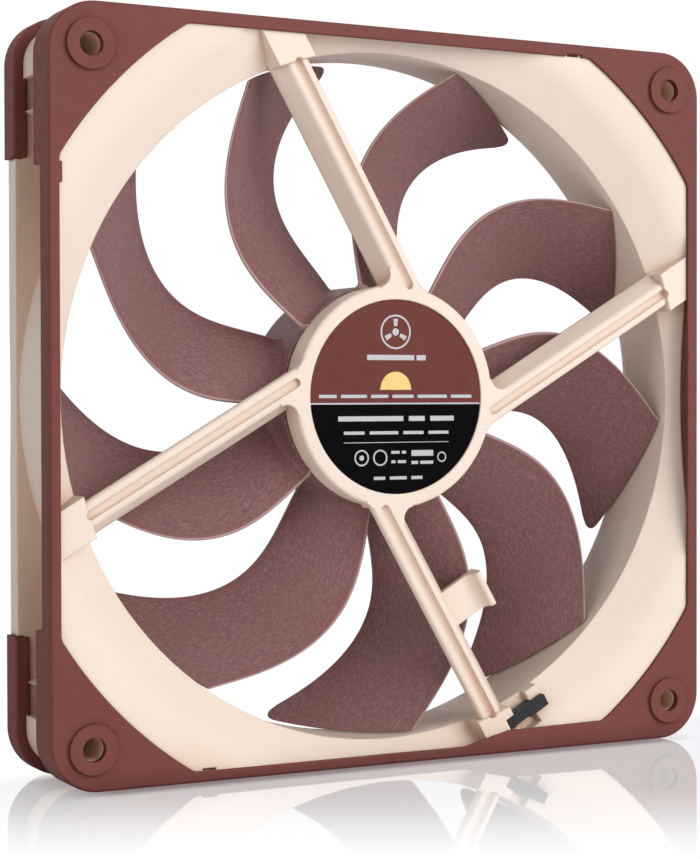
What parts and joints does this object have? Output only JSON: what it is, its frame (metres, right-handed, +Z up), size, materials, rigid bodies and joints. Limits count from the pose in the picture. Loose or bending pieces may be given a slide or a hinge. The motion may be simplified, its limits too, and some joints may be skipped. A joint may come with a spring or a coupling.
{
  "type": "case fan",
  "caption": "Axial computer case fan with a square frame, swept-blade impeller, offset struts, rubber gasket and corner pads, and short lead.",
  "frame": {"origin": "fan centre: on the rotor axis, midway between the front and back faces", "axes": "+Z up, +X to the right when looking at the outlet side, -Y out of the outlet (label) side, +Y out of the inlet side"},
  "size_m": [0.14, 0.0256, 0.14],
  "materials": {
    "frame": "warm beige moulded plastic, fine satin texture",
    "gasket": "reddish brown silicone, matt",
    "pad": "reddish brown silicone, matt",
    "label": "printed film, brown above and black below",
    "brass": "turned, satin",
    "sintered_bronze": "sintered, oil filled",
    "white_plastic": "natural white",
    "magnet": "bonded ferrite, dark grey",
    "lamination": "stacked electrical steel",
    "black_plastic": "black moulded plastic",
    "copper": "enamelled copper wire",
    "tinned": "tinned pins",
    "board": "green solder mask",
    "chip": "black epoxy",
    "ceramic_part": "small ceramic parts",
    "clip": "black moulded plastic",
    "wire": "black insulation",
    "sleeve": "black flat sleeving",
    "impeller": "fibre-filled purple brown plastic, satin with fine speckle",
    "steel": "pressed steel",
    "polished_steel": "ground steel"
  },
  "bodies": {
    "frame_body": {"frame": "frame", "outlet_gasket": "gasket", "inlet_pad_top_left": "pad", "inlet_pad_top_right": "pad", "inlet_pad_bottom_left": "pad", "inlet_pad_bottom_right": "pad", "hub_label": "label", "bearing_shell": "brass", "sleeve_bearing": "sintered_bronze", "thrust_disc": "white_plastic", "stabiliser_magnet": "magnet", "stator_core": "lamination", "front_insulator": "black_plastic", "back_insulator": "black_plastic", "stator_coils": "copper", "terminal_pins": "tinned", "circuit_board": "board", "driver_chip": "chip", "hall_sensor": "chip", "board_components": "ceramic_part", "lead_clip": "clip", "lead_wires": "wire", "lead_sleeve": "sleeve", "connector_housing": "black_plastic", "connector_contacts": "brass"},
    "rotor": {"impeller": "impeller", "rotor_yoke": "steel", "ring_magnet": "magnet", "shaft_boss": "brass", "rotor_shaft": "polished_steel", "retaining_clip": "white_plastic"}
  },
  "joints": [
    {"name": "rotor_spin", "type": "hinge", "parent": "frame_body", "child": "rotor", "pos_m": [0, 0, 0], "axis": [0, 1, 0], "continuous": true}
  ]
}
